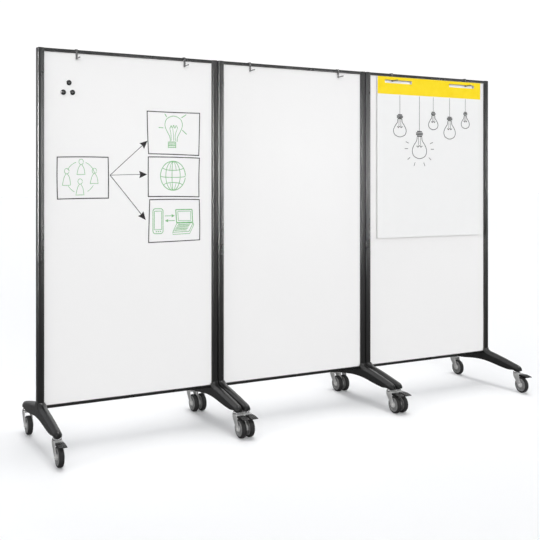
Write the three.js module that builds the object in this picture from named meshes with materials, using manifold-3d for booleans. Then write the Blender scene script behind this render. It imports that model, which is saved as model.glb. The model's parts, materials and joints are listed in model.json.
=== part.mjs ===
// A wall of three rolling whiteboards that stand post to post, with a flip-chart pad on the right one.
// Units are millimetres. +X runs along the wall, -Y faces the writer, +Z is up, and the floor is z = 0.
// The origin is on the floor, at the centre of the whole object's outline.
import * as THREE from "three";
import { mergeVertices } from "three/addons/utils/BufferGeometryUtils.js";
import Module from "manifold-3d";

const wasm = await Module();
wasm.setup();

// Driving dimensions of one unit
const UNIT_WIDTH = 760; // outside of one foot to outside of the other
const UNIT_GAP = 0.8; // air between the feet of neighbouring units
const FRAME_HEIGHT = 1380; // underside of the bottom rail to the top of the posts
const FRAME_BASE = 149; // underside of the bottom rail above the floor
const CLEAR = 0.3; // gap between pieces that touch

// Posts, rails and board
const POST = { width: 25, depth: 34, corner: 10, lip: 6, lipDepth: 28, wall: 3 };
const COLLAR_WALL = 1.7; // collar outside the post, so that neighbouring posts stay apart
const POST_INSET = COLLAR_WALL + CLEAR; // outer edge of the foot to the post
const POST_SINK = 18.7; // how far the post goes below the bottom rail, into its foot
const RAIL = { top: 13, bottom: 12, depth: 26, corner: 3, groove: 5 };
const BOARD = { thickness: 12, tongue: 11 }; // the board's edge is a thinner tongue, for the grooves
const GROOVE_HALF = BOARD.tongue / 2 + CLEAR;

// Feet
const FOOT = { width: 36, half: 256, roundEnd: 20, under: 98, arch: 17, archReach: 200, crown: 14 };
const FOOT_END_TAPER = 0.85; // share of the round end that is used before it is cut off blunt
const FOOT_TOP = { middle: 168, droop: 37, reach: 240, curve: 1.3 };
const FILLET = { rise: 9, from: 20, reach: 30 }; // where the arms sweep up to the collar
const FOOT_STATIONS = [12, 24, 50, 110, 175, 236, 246, 252, 256]; // rings, from the post out
const COLLAR = { width: 29, depth: 43, corner: 9, base: 118, top: 175 };

// Casters
const PIVOT_X = FOOT.width / 2; // swivel axis in from the outer edge of the foot
const PIVOT_Y = 228; // swivel axis in front of and behind the posts
const TRAIL = 33; // axle in front of the swivel axis
const WHEEL = { radius: 37.5, half: 8, rim: 30, rimHalf: 10.5, sides: 20 };
const HUB = { radius: 13, half: 12.3, bore: 4.3 };
const STEM = { radius: 6, top: 116 };
const HEAD = { radius: 17, under: 89, rim: 2, bevel: 5, sides: 12 };
const LEG = { inner: 13.5, outer: 16.5, top: 93, back: 5, backDrop: 9, front: 22, end: 9.5, tilt: 0.35 };
const AXLE = { radius: 4, half: 17.5, sides: 10 };
const PEDAL = { forward: 16, height: 83.5, boss: 4.5, bore: 2.3, half: 13 };
const PADDLE = { half: 15, from: 31, bend: 56, tip: 84, overlap: 6, swell: 1, tipTop: 4.5, tipUnder: 7 };
const PEDAL_PIN_RADIUS = 2;

// Hooks and pad
const HOOK = { x: 227, width: 8, strap: 2.4, back: 12, reach: 42, prong: 5 };
const PRONG_RISE = THREE.MathUtils.degToRad(8);
const PAD = { width: 635, height: 762, thickness: 6, drop: 16 };
const SLOT = { width: 160, height: 15, inset: 42, drop: 14.5 };

const FRAME_TOP = FRAME_BASE + FRAME_HEIGHT;
const PITCH = UNIT_WIDTH + UNIT_GAP;
const CUT = 40; // how far a cutting tool runs past the face it cuts
const ARC_STEPS = 4; // straight steps in a rounded corner
const CROWN_STEPS = 6; // straight steps over the top of a foot's arm
const MERGE_DISTANCE = 1e-4;
const CENTRE_SHIFT = (PIVOT_Y + PADDLE.tip - FOOT.half) / 2; // brings the outline's centre to y = 0

const MATERIALS = {
  frame: { color: 0x4b4b4d, roughness: 0.42, metalness: 0.55 },
  foot: { color: 0x3b3b3d, roughness: 0.5, metalness: 0.3 },
  board: { color: 0xf1f0f0, roughness: 0.18, metalness: 0.0 },
  fork: { color: 0xa9a9a6, roughness: 0.25, metalness: 1.0 },
  wheel: { color: 0x3a3a3b, roughness: 0.6, metalness: 0.0 },
  pedal: { color: 0x161617, roughness: 0.45, metalness: 0.0 },
  hook: { color: 0x8b8b8c, roughness: 0.35, metalness: 1.0 },
  pad: { color: 0xf7f6f2, roughness: 0.8, metalness: 0.0 },
};

const wall = new THREE.Group();

// Solids ---------------------------------------------------------------------------------------

function bare(geometry) {
  const copy = geometry.index ? geometry.toNonIndexed() : geometry.clone();
  for (const name of Object.keys(copy.attributes)) {
    if (name !== "position") copy.deleteAttribute(name);
  }
  return mergeVertices(copy, MERGE_DISTANCE);
}

function toSolid(geometry) {
  const merged = bare(geometry);
  const mesh = new wasm.Mesh({
    numProp: 3,
    vertProperties: new Float32Array(merged.attributes.position.array),
    triVerts: new Uint32Array(merged.index.array),
  });
  mesh.merge();
  return new wasm.Manifold(mesh);
}

function toGeometry(solid) {
  const mesh = solid.getMesh();
  const geometry = new THREE.BufferGeometry();
  geometry.setAttribute("position", new THREE.BufferAttribute(mesh.vertProperties, 3));
  geometry.setIndex(new THREE.BufferAttribute(mesh.triVerts, 1));
  geometry.computeVertexNormals();
  return geometry;
}

function join(geometries) {
  return geometries.map(toSolid).reduce((whole, next) => whole.add(next));
}

function cut(solid, tools) {
  return tools.map(toSolid).reduce((rest, tool) => rest.subtract(tool), solid);
}

function box(x0, x1, y0, y1, z0, z1) {
  const geometry = new THREE.BoxGeometry(x1 - x0, y1 - y0, z1 - z0);
  return geometry.translate((x0 + x1) / 2, (y0 + y1) / 2, (z0 + z1) / 2);
}

function cylinderZ(radius, x, y, z0, z1, sides) {
  const geometry = new THREE.CylinderGeometry(radius, radius, z1 - z0, sides);
  return geometry.rotateX(Math.PI / 2).translate(x, y, (z0 + z1) / 2);
}

function cylinderX(radius, half, y, z, sides) {
  const geometry = new THREE.CylinderGeometry(radius, radius, 2 * half, sides);
  return geometry.rotateZ(Math.PI / 2).translate(0, y, z);
}

function extrude(shape, depth) {
  return new THREE.ExtrudeGeometry(shape, { depth, bevelEnabled: false, curveSegments: ARC_STEPS });
}

function extrudeZ(shape, z0, z1) {
  return extrude(shape, z1 - z0).translate(0, 0, z0);
}

// Takes a shape drawn in the plane of Y and Z, and draws it out along X.
const SIDE_VIEW = new THREE.Matrix4().makeBasis(
  new THREE.Vector3(0, 1, 0), new THREE.Vector3(0, 0, 1), new THREE.Vector3(1, 0, 0),
);

function extrudeX(shape, x0, x1) {
  return extrude(shape, x1 - x0).applyMatrix4(SIDE_VIEW).translate(x0, 0, 0);
}

function polygon(points) {
  return new THREE.Shape(points.map(([a, b]) => new THREE.Vector2(a, b)));
}

// Turns a piece made for the left side of a unit into its right-hand twin.
function mirrorX(geometry) {
  const copy = bare(geometry).scale(-1, 1, 1);
  const index = copy.index.array;
  for (let i = 0; i < index.length; i += 3) [index[i], index[i + 1]] = [index[i + 1], index[i]];
  copy.computeVertexNormals();
  return copy;
}

function addMesh(name, geometry, material, x, y = 0) {
  const mesh = new THREE.Mesh(geometry, new THREE.MeshStandardMaterial(MATERIALS[material]));
  mesh.name = name;
  mesh.position.set(x, y + CENTRE_SHIFT, 0);
  wall.add(mesh);
}

// Frame ----------------------------------------------------------------------------------------

// Post section: a round-cornered outer tube with a narrower lip, grooved to take the board's edge.
// The outer edge is at x = 0.
function postSection() {
  const half = POST.depth / 2;
  const shoulder = POST.width - POST.lip;
  const lip = POST.lipDepth / 2;
  const shape = new THREE.Shape();
  shape.moveTo(POST.corner, -half);
  shape.lineTo(shoulder, -half);
  shape.lineTo(shoulder, -lip);
  shape.lineTo(POST.width, -lip);
  shape.lineTo(POST.width, -GROOVE_HALF);
  shape.lineTo(shoulder, -GROOVE_HALF);
  shape.lineTo(shoulder, GROOVE_HALF);
  shape.lineTo(POST.width, GROOVE_HALF);
  shape.lineTo(POST.width, lip);
  shape.lineTo(shoulder, lip);
  shape.lineTo(shoulder, half);
  shape.lineTo(POST.corner, half);
  shape.absarc(POST.corner, half - POST.corner, POST.corner, Math.PI / 2, Math.PI);
  shape.absarc(POST.corner, POST.corner - half, POST.corner, Math.PI, 1.5 * Math.PI);
  return shape;
}

// The post is a tube, open at its foot and closed at its top.
function postGeometry() {
  const base = FRAME_BASE - POST_SINK;
  const shoulder = POST.width - POST.lip;
  const chamberHalf = POST.depth / 2 - POST.wall;
  const lid = FRAME_TOP - POST.wall;
  const chamber = box(POST.wall, shoulder - POST.wall, -chamberHalf, chamberHalf, base - CUT, lid);
  return toGeometry(cut(toSolid(extrudeZ(postSection(), base, FRAME_TOP)), [chamber]));
}

// Rail section: a channel whose groove takes the board's edge. "open" is 1 for up and -1 for down.
function railShape(height, open) {
  const half = RAIL.depth / 2;
  const c = RAIL.corner;
  const points = [
    [-half + c, 0], [half - c, 0], [half, c], [half, height],
    [GROOVE_HALF, height], [GROOVE_HALF, height - RAIL.groove],
    [-GROOVE_HALF, height - RAIL.groove], [-GROOVE_HALF, height],
    [-half, height], [-half, c],
  ];
  if (open > 0) return polygon(points);
  return polygon(points.map(([y, z]) => [y, height - z]).reverse());
}

function addFrame(unit, centre) {
  const edge = UNIT_WIDTH / 2;
  const post = postGeometry();
  addMesh(`${unit}_unit_post_left`, post, "frame", centre - edge + POST_INSET);
  addMesh(`${unit}_unit_post_right`, mirrorX(post), "frame", centre + edge - POST_INSET);

  const railHalf = edge - POST_INSET - POST.width - CLEAR;
  const topRail = extrudeX(railShape(RAIL.top, -1), -railHalf, railHalf);
  topRail.translate(0, 0, FRAME_TOP - RAIL.top);
  addMesh(`${unit}_unit_top_rail`, topRail, "frame", centre);
  const bottomRail = extrudeX(railShape(RAIL.bottom, 1), -railHalf, railHalf);
  bottomRail.translate(0, 0, FRAME_BASE);
  addMesh(`${unit}_unit_bottom_rail`, bottomRail, "frame", centre);

  const panel = boardPanel(railHalf, BOARD.thickness, CLEAR);
  const tongue = boardPanel(railHalf + POST.lip, BOARD.tongue, CLEAR - RAIL.groove);
  addMesh(`${unit}_unit_board`, toGeometry(join([panel, tongue])), "board", centre);
}

// A panel between the rails. "inset" is how far its top and bottom edges stay off the rails' lips.
function boardPanel(half, thickness, inset) {
  const base = FRAME_BASE + RAIL.bottom + inset;
  const top = FRAME_TOP - RAIL.top - inset;
  return box(-half, half, -thickness / 2, thickness / 2, base, top);
}

// Feet -----------------------------------------------------------------------------------------

// How full the section is near the blunt, rounded ends of the foot: 1 along the arm, less at the end.
function endFullness(distance) {
  const into = Math.max(0, distance - (FOOT.half - FOOT.roundEnd)) / FOOT.roundEnd;
  return Math.sqrt(1 - (FOOT_END_TAPER * into) ** 2);
}

function footTop(distance) {
  const droop = FOOT_TOP.droop * Math.min(1, distance / FOOT_TOP.reach) ** FOOT_TOP.curve;
  const into = 1 - (Math.max(distance, FILLET.from) - FILLET.from) / FILLET.reach;
  const fillet = FILLET.rise * Math.max(0, into) ** 2;
  return FOOT_TOP.middle - droop + fillet - FOOT.roundEnd * (1 - endFullness(distance));
}

function footUnderside(distance) {
  const turn = (Math.PI / 2) * Math.min(1, distance / FOOT.archReach);
  return FOOT.under + FOOT.arch * Math.cos(turn) ** 2;
}

// One ring of the arm at a distance y from the post: flat below, straight sides, a round crown.
function footRing(y) {
  const distance = Math.abs(y);
  const half = (FOOT.width / 2) * endFullness(distance);
  const shoulder = footTop(distance) - FOOT.crown;
  const ring = [[-half, footUnderside(distance)], [half, footUnderside(distance)]];
  for (let i = 0; i <= CROWN_STEPS; i += 1) {
    const angle = (Math.PI * i) / CROWN_STEPS;
    ring.push([half * Math.cos(angle), shoulder + FOOT.crown * Math.sin(angle)]);
  }
  return ring.map(([x, z]) => [PIVOT_X + x, y, z]);
}

// Skins a row of rings, each a list of points, and closes both ends with a fan.
function loft(rings) {
  const size = rings[0].length;
  const index = [];
  for (let r = 0; r + 1 < rings.length; r += 1) {
    for (let i = 0; i < size; i += 1) {
      const a = r * size + i;
      const b = r * size + ((i + 1) % size);
      index.push(a, b + size, b, a, a + size, b + size);
    }
  }
  const last = (rings.length - 1) * size;
  for (let i = 1; i + 1 < size; i += 1) {
    index.push(0, i, i + 1);
    index.push(last, last + i + 1, last + i);
  }
  const geometry = new THREE.BufferGeometry();
  geometry.setAttribute("position", new THREE.Float32BufferAttribute(rings.flat(2), 3));
  geometry.setIndex(index);
  return geometry;
}

function collarSection() {
  const half = COLLAR.depth / 2;
  const c = COLLAR.corner;
  const small = c / 2;
  const shape = new THREE.Shape();
  shape.moveTo(c, -half);
  shape.lineTo(COLLAR.width - small, -half);
  shape.absarc(COLLAR.width - small, small - half, small, -Math.PI / 2, 0);
  shape.absarc(COLLAR.width - small, half - small, small, 0, Math.PI / 2);
  shape.absarc(c, half - c, c, Math.PI / 2, Math.PI);
  shape.absarc(c, c - half, c, Math.PI, 1.5 * Math.PI);
  return shape;
}

// The post's way into the collar, with the running gap all round.
function socketTools() {
  const floor = FRAME_BASE - POST_SINK - CLEAR;
  const top = COLLAR.top + CUT;
  const shoulder = POST_INSET + POST.width - POST.lip;
  const half = POST.depth / 2 + CLEAR;
  const c = POST.corner;
  const tube = new THREE.Shape();
  tube.moveTo(COLLAR_WALL + c, -half);
  tube.lineTo(shoulder + CLEAR, -half);
  tube.lineTo(shoulder + CLEAR, half);
  tube.lineTo(COLLAR_WALL + c, half);
  tube.absarc(COLLAR_WALL + c, half - c, c, Math.PI / 2, Math.PI);
  tube.absarc(COLLAR_WALL + c, c - half, c, Math.PI, 1.5 * Math.PI);
  const lip = POST.lipDepth / 2 + CLEAR;
  const inner = POST_INSET + POST.width + CLEAR;
  const rail = RAIL.depth / 2 + CLEAR;
  return [
    extrudeZ(tube, floor, top),
    box(shoulder, inner, -lip, lip, floor, top),
    box(inner - CLEAR, inner + CUT, -rail, rail, FRAME_BASE - CLEAR, top),
  ];
}

function stemHoles() {
  return [-PIVOT_Y, PIVOT_Y].map((y) => (
    cylinderZ(STEM.radius + CLEAR, PIVOT_X, y, FOOT.under - CUT, STEM.top + CLEAR, AXLE.sides)
  ));
}

function footGeometry() {
  const stations = [...FOOT_STATIONS.map((y) => -y).reverse(), ...FOOT_STATIONS];
  const arms = loft(stations.map(footRing));
  const collar = extrudeZ(collarSection(), COLLAR.base, COLLAR.top);
  return toGeometry(cut(join([arms, collar]), [...socketTools(), ...stemHoles()]));
}

// Casters --------------------------------------------------------------------------------------

// Made with the swivel axis at x = y = 0 and the axle in front of it, towards -Y.
function wheelGeometry() {
  const rim = WHEEL.radius / Math.cos(Math.PI / WHEEL.sides); // flats, not corners, meet the floor
  const half = [
    [HUB.bore, HUB.half], [HUB.radius, HUB.half], [WHEEL.rim, WHEEL.rimHalf], [rim, WHEEL.half],
  ];
  const profile = [...half.map(([r, x]) => [r, -x]), ...half.reverse()];
  profile.push(profile[0]);
  const points = profile.map(([r, x]) => new THREE.Vector2(r, x));
  const lathe = new THREE.LatheGeometry(points, WHEEL.sides, Math.PI / WHEEL.sides);
  return bare(lathe.rotateZ(-Math.PI / 2).translate(0, -TRAIL, WHEEL.radius));
}

function headGeometry() {
  const step = FOOT.under - CLEAR;
  const profile = [
    [0, HEAD.under], [HEAD.radius, HEAD.under], [HEAD.radius, step - HEAD.rim],
    [HEAD.radius - HEAD.bevel, step], [STEM.radius, step], [STEM.radius, STEM.top], [0, STEM.top],
  ];
  const points = profile.map(([r, z]) => new THREE.Vector2(r, z));
  return new THREE.LatheGeometry(points, HEAD.sides).rotateX(Math.PI / 2);
}

// A fork leg sweeps from the head forward and down, and ends round about the axle.
function legShape() {
  const shape = new THREE.Shape();
  shape.moveTo(LEG.back, LEG.top);
  shape.lineTo(LEG.back, LEG.top - LEG.backDrop);
  shape.absarc(-TRAIL, WHEEL.radius, LEG.end, LEG.tilt, LEG.tilt - Math.PI, true);
  shape.lineTo(-LEG.front, LEG.top);
  return shape;
}

function forkGeometry(braked) {
  const leg = extrudeX(legShape(), LEG.inner, LEG.outer);
  const axle = cylinderX(AXLE.radius, AXLE.half, -TRAIL, WHEEL.radius, AXLE.sides);
  const pieces = [headGeometry(), leg, mirrorX(leg), axle];
  if (braked) pieces.push(cylinderX(PEDAL_PIN_RADIUS, LEG.outer, -PEDAL.forward, PEDAL.height, AXLE.sides));
  return toGeometry(join(pieces));
}

// The brake pedal: a lever on a pin between the fork legs, with a wide, pointed paddle in front.
function pedalGeometry() {
  const top = PEDAL.height + PEDAL.boss;
  const under = PEDAL.height - PEDAL.boss;
  const lever = new THREE.Shape();
  lever.moveTo(-PEDAL.forward, top);
  lever.absarc(-PEDAL.forward, PEDAL.height, PEDAL.boss, Math.PI / 2, -Math.PI / 2, true);
  lever.lineTo(-PADDLE.from - PADDLE.overlap, under);
  lever.lineTo(-PADDLE.from - PADDLE.overlap, top);
  const paddle = polygon([
    [-PADDLE.from, top], [-PADDLE.bend, top + PADDLE.swell], [-PADDLE.tip, top - PADDLE.tipTop],
    [-PADDLE.tip, top - PADDLE.tipUnder], [-PADDLE.bend, under - PADDLE.swell], [-PADDLE.from, under],
  ]);
  const body = join([
    extrudeX(lever, -PEDAL.half, PEDAL.half),
    extrudeX(paddle, -PADDLE.half, PADDLE.half),
  ]);
  const bore = cylinderX(PEDAL.bore, PEDAL.half + CUT, -PEDAL.forward, PEDAL.height, AXLE.sides);
  return toGeometry(cut(body, [bore]));
}

function addFootAndCasters(unit, centre, hand, side) {
  const outer = centre + side * (UNIT_WIDTH / 2);
  const pivot = outer - side * PIVOT_X;
  const foot = footGeometry();
  addMesh(`${unit}_unit_foot_${hand}`, side < 0 ? foot : mirrorX(foot), "foot", outer);
  for (const [end, y] of [["front", -PIVOT_Y], ["rear", PIVOT_Y]]) {
    const name = `${unit}_unit_${end}_${hand}`;
    addMesh(`${name}_fork`, forkGeometry(end === "front"), "fork", pivot, y);
    addMesh(`${name}_wheel`, wheelGeometry(), "wheel", pivot, y);
    if (end === "front") addMesh(`${name}_pedal`, pedalGeometry(), "pedal", pivot, y);
  }
}

// Hooks and pad --------------------------------------------------------------------------------

const HOOK_FACE = RAIL.depth / 2 + CLEAR + HOOK.strap; // front of the strap, ahead of the board's middle
const PAD_BACK = HOOK_FACE + CLEAR;
const PAD_TOP = FRAME_TOP - PAD.drop;
const SLOT_TOP = PAD_TOP - SLOT.drop;
// The prong's top edge just clears the slot's top edge at the front of the pad.
const PRONG_TOP = SLOT_TOP - CLEAR - PAD.thickness * Math.tan(PRONG_RISE);

// A strap bent over the top rail, with a prong that rises towards the writer.
function hookGeometry() {
  const inner = RAIL.depth / 2 + CLEAR;
  const over = FRAME_TOP + CLEAR;
  const prongEnd = HOOK_FACE + HOOK.reach;
  const climb = HOOK.reach * Math.tan(PRONG_RISE);
  const prongUnder = PRONG_TOP - HOOK.prong;
  const shape = polygon([
    [inner, FRAME_TOP - HOOK.back], [HOOK_FACE, FRAME_TOP - HOOK.back],
    [HOOK_FACE, over + HOOK.strap], [-HOOK_FACE, over + HOOK.strap],
    [-HOOK_FACE, PRONG_TOP], [-prongEnd, PRONG_TOP + climb], [-prongEnd, prongUnder + climb],
    [-HOOK_FACE, prongUnder], [-inner, prongUnder], [-inner, over], [inner, over],
  ].reverse());
  return extrudeX(shape, -HOOK.width / 2, HOOK.width / 2);
}

// The pad's two long slots let the prongs through.
function padGeometry() {
  const half = PAD.width / 2;
  const front = -PAD_BACK - PAD.thickness;
  const slab = box(-half, half, front, -PAD_BACK, PAD_TOP - PAD.height, PAD_TOP);
  const slots = [-half + SLOT.inset, half - SLOT.inset - SLOT.width].map((x) => (
    box(x, x + SLOT.width, front - CUT, CUT - PAD_BACK, SLOT_TOP - SLOT.height, SLOT_TOP)
  ));
  return toGeometry(cut(toSolid(slab), slots));
}

// Assembly -------------------------------------------------------------------------------------

["left", "middle", "right"].forEach((unit, place) => {
  const centre = (place - 1) * PITCH;
  addFrame(unit, centre);
  for (const [hand, side] of [["left", -1], ["right", 1]]) {
    addFootAndCasters(unit, centre, hand, side);
    addMesh(`${unit}_unit_hook_${hand}`, hookGeometry(), "hook", centre + side * HOOK.x);
  }
});
addMesh("flip_chart_pad", padGeometry(), "pad", PITCH);

export default wall;
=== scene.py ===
"""The looks of a wall of three rolling whiteboards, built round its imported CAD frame.

Shapes are drawn in millimetres, in the same local frames as the CAD, and become metres in make_mesh().
+X runs along the wall, -Y faces the writer, +Z is up, and the floor is z = 0.
"""

import itertools
import json
import math
import random

import bmesh
import bpy
from mathutils import Matrix, Vector, noise


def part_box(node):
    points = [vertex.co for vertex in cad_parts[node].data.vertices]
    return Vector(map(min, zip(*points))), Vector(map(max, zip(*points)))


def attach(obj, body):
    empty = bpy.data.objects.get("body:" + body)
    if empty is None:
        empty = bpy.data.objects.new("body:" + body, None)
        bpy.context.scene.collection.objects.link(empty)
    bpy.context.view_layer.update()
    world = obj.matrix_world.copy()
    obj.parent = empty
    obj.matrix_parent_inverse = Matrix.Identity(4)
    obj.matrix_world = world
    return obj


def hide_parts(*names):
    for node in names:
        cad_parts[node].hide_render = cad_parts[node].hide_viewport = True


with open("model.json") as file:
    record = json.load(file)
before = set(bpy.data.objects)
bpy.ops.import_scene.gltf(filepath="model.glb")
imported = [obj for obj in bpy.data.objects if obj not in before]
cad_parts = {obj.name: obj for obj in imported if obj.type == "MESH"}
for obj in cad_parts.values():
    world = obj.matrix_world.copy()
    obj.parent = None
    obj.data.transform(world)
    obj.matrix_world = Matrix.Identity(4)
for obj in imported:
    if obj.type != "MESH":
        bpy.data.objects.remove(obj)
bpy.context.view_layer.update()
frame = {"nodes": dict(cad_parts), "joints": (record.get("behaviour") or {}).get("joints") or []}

MM = 0.001
SHARP = math.radians(32)  # edges that turn more than this are shaded as edges

# Where the units stand, in metres
BOARDS = {unit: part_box(f"{unit}_unit_board") for unit in ("left", "middle", "right")}
UNITS = {unit: (low.x + high.x) / 2 for unit, (low, high) in BOARDS.items()}
PLANE_Y = sum(corner.y for corner in BOARDS["right"]) / 2
HANDS = ("left", "right")

# The object's own measures
FRAME_BASE = 149.0
FRAME_TOP = 1529.0
CLEAR = 0.3
POST = {"width": 25.0, "half": 17.0, "corner": 5.0, "lip": 6.0, "lip_half": 14.0, "sink": 18.7}
POST_INSET = 2.0
GROOVE_HALF = 5.8
RAIL = {"top": 13.0, "bottom": 12.0, "half": 13.0, "groove": 5.0, "length_half": 352.7}
FOOT = {"width": 36.0, "half": 256.0, "round_end": 20.0, "under": 98.0, "arch": 17.0, "arch_reach": 200.0}
FOOT_TOP = {"middle": 168.0, "droop": 43.0, "reach": 240.0, "curve": 1.3, "crown": 14.0}
FILLET = {"rise": 9.0, "start": 20.0, "reach": 30.0}
END_TAPER = 0.85
END_LIFT = 3.0  # how far the underside rises over the swivel head
ARM_TAPER = 0.15  # how much narrower the arm is at its end than at the collar
COLLAR = {"width": 29.0, "half": 21.5, "corner": 9.0, "base": 118.0, "top": 175.0}
TRAIL = 33.0
WHEEL_RADIUS = 37.5
HEAD = {"radius": 17.0, "under": 89.0, "top": 100.7, "stem": 6.0, "stem_top": 112.0}
LEG = {"inner": 13.5, "outer": 16.5}
RIBS = {"count": 6, "first": -53.0, "step": 4.6, "slope": 0.185, "crest_y": -56.0, "rise": 5.0}
FORK = {"top": 89.2, "sheet": 3.0, "front": -27.0, "back": 8.5}
PEDAL = {"pin_y": -16.0, "pin_z": 83.5, "half": 13.0, "paddle_half": 15.0}
HOOK = {"width": 8.0, "strap": 2.4, "back": 12.0, "below_prong": 2.8, "reach": 42.9, "prong": 2.4}
PRONG_RISE = math.radians(1)
PRONG_Z = 1494.8
PAD = {"half": 317.5, "height": 762.0, "top": 1513.0, "front": -22.0, "back": -16.0}
SLOT = {"width": 160.0, "height": 15.0, "inset": 42.0, "top": 1498.5}


# Outlines -----------------------------------------------------------


def rounded(corners, steps=6, closed=True):
    """An outline through corners (a, b, radius), with each corner turned into an arc."""
    count = len(corners)
    outline = []
    for i, (a, b, radius) in enumerate(corners):
        corner = Vector((a, b))
        if radius == 0 or (not closed and i in (0, count - 1)):
            outline.append((a, b))
            continue
        back = (Vector(corners[i - 1][:2]) - corner).normalized()
        onward = (Vector(corners[(i + 1) % count][:2]) - corner).normalized()
        half = back.angle(onward) / 2
        centre = corner + (back + onward).normalized() * (radius / math.sin(half))
        start = corner + back * (radius / math.tan(half)) - centre
        stop = corner + onward * (radius / math.tan(half)) - centre
        turned = math.atan2(start.x * stop.y - start.y * stop.x, start.dot(stop))
        for k in range(steps + 1):
            angle = math.atan2(start.y, start.x) + turned * k / steps
            outline.append((centre.x + radius * math.cos(angle), centre.y + radius * math.sin(angle)))
    return outline


def rectangle(a0, a1, b0, b1, radius=0.0, steps=6):
    return rounded([(a0, b0, radius), (a1, b0, radius), (a1, b1, radius), (a0, b1, radius)], steps)


def circle(radius, a=0.0, b=0.0, steps=24):
    turns = [2 * math.pi * i / steps for i in range(steps)]
    return [(a + radius * math.cos(t), b + radius * math.sin(t)) for t in turns]


# Solids -------------------------------------------------------------


def turn(along, a, b, t):
    """A point of an outline (a, b), carried to t along an axis."""
    return {"X": (t, a, b), "Y": (a, t, b), "Z": (a, b, t)}[along]


def skin(bm, rings, closed=False):
    """Adds a skin over a row of rings of points, and closes its ends or joins them to each other."""
    rows = [[bm.verts.new(point) for point in ring] for ring in rings]
    size = len(rows[0])
    for one, two in zip(rows, rows[1:] + (rows[:1] if closed else [])):
        for i in range(size):
            j = (i + 1) % size
            bm.faces.new((one[i], one[j], two[j], two[i]))
    if not closed:
        bm.faces.new(list(reversed(rows[0])))
        bm.faces.new(rows[-1])


def loft(rings, closed=False):
    bm = bmesh.new()
    skin(bm, rings, closed)
    bmesh.ops.recalc_face_normals(bm, faces=bm.faces)
    return bm


def prism(outline, start, stop, along="Z"):
    return loft([[turn(along, a, b, t) for a, b in outline] for t in (start, stop)])


def lathe(profile, along="Z", steps=48):
    """Spins a closed outline of (radius, place along the axis) round an axis."""
    rings = []
    for i in range(steps):
        angle = 2 * math.pi * i / steps
        rings.append([turn(along, r * math.cos(angle), r * math.sin(angle), t) for r, t in profile])
    bm = loft(rings, closed=True)
    bmesh.ops.remove_doubles(bm, verts=bm.verts, dist=0.001)
    bmesh.ops.dissolve_degenerate(bm, edges=bm.edges, dist=0.0005)
    bmesh.ops.recalc_face_normals(bm, faces=bm.faces)
    return bm


def sweep(path, section):
    """Carries a section (across X, off the path) along a path of (y, z)."""
    rings = []
    for i, (y, z) in enumerate(path):
        before = Vector(path[max(i - 1, 0)])
        after = Vector(path[min(i + 1, len(path) - 1)])
        along = (after - before).normalized()
        rings.append([(x, y - n * along.y, z + n * along.x) for x, n in section])
    return loft(rings)


def moved(bm, x=0.0, y=0.0, z=0.0):
    bmesh.ops.translate(bm, vec=(x, y, z), verts=bm.verts)
    return bm


def facing_front(bm):
    """Mirrors a solid that was drawn towards +Y, so that it reaches towards the writer."""
    for vert in bm.verts:
        vert.co.y = -vert.co.y
    bmesh.ops.recalc_face_normals(bm, faces=bm.faces)
    return bm


def mirrored(bm):
    """The right-hand twin of a piece drawn for the left."""
    copy = bm.copy()
    bmesh.ops.scale(copy, vec=(-1, 1, 1), verts=copy.verts)
    bmesh.ops.reverse_faces(copy, faces=copy.faces)
    return copy


def softened(bm, width, segments=2):
    """Rounds every edge that turns sharply."""
    edges = [e for e in bm.edges if len(e.link_faces) == 2 and e.calc_face_angle(0) > SHARP]
    bmesh.ops.bevel(
        bm, geom=edges, offset=width, offset_type="OFFSET", segments=segments, profile=0.5,
        affect="EDGES", clamp_overlap=True,
    )
    return bm


def joined(*parts):
    whole = bmesh.new()
    for part in parts:
        mesh = bpy.data.meshes.new("part")
        part.to_mesh(mesh)
        part.free()
        whole.from_mesh(mesh)
        bpy.data.meshes.remove(mesh)
    return whole


def scratch_object(bm):
    mesh = bpy.data.meshes.new("scratch")
    bm.to_mesh(mesh)
    bm.free()
    obj = bpy.data.objects.new("scratch", mesh)
    bpy.context.scene.collection.objects.link(obj)
    return obj


def modified(bm, *modifiers):
    """A solid after a row of modifiers, each given as (type, settings)."""
    obj = scratch_object(bm)
    for kind, settings in modifiers:
        modifier = obj.modifiers.new(kind, kind)
        for key, value in settings.items():
            setattr(modifier, key, value)
    graph = bpy.context.evaluated_depsgraph_get()
    result = bmesh.new()
    result.from_mesh(obj.evaluated_get(graph).data)
    bpy.data.meshes.remove(obj.data)
    return result


def boolean(bm, operation, *tools):
    objects = [scratch_object(tool) for tool in tools]
    steps = [("BOOLEAN", {"operation": operation, "solver": "EXACT", "object": o}) for o in objects]
    result = modified(bm, *steps)
    for obj in objects:
        bpy.data.meshes.remove(obj.data)
    return result


def make_mesh(name, bm, material):
    """Turns a solid drawn in millimetres into a mesh in metres."""
    bmesh.ops.scale(bm, vec=(MM, MM, MM), verts=bm.verts)
    for face in bm.faces:
        face.smooth = True
    for edge in bm.edges:
        edge.smooth = len(edge.link_faces) != 2 or edge.calc_face_angle(0) <= SHARP
    mesh = bpy.data.meshes.new(name)
    bm.to_mesh(mesh)
    bm.free()
    mesh.materials.append(material)
    return mesh


def mesh_pair(name, solid, material):
    """A mesh for each hand, from a solid drawn for the left."""
    solids = {"left": solid, "right": mirrored(solid)}
    return {hand: make_mesh(f"{name}_{hand}", bm, material) for hand, bm in solids.items()}


def outer_edge(node, hand):
    """The place in metres, on the floor, below a node's outer edge."""
    low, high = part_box(node)
    return (low.x if hand == "left" else high.x, PLANE_Y, 0)


def add_piece(name, mesh, body, at, stands_for=()):
    """Shows a mesh as a piece that rides on a CAD body, at a place in metres."""
    obj = bpy.data.objects.new(name, mesh)
    bpy.context.scene.collection.objects.link(obj)
    obj.matrix_world = Matrix.Translation(at)
    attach(obj, body)
    if stands_for:
        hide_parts(*stands_for)


# Materials ----------------------------------------------------------


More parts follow.
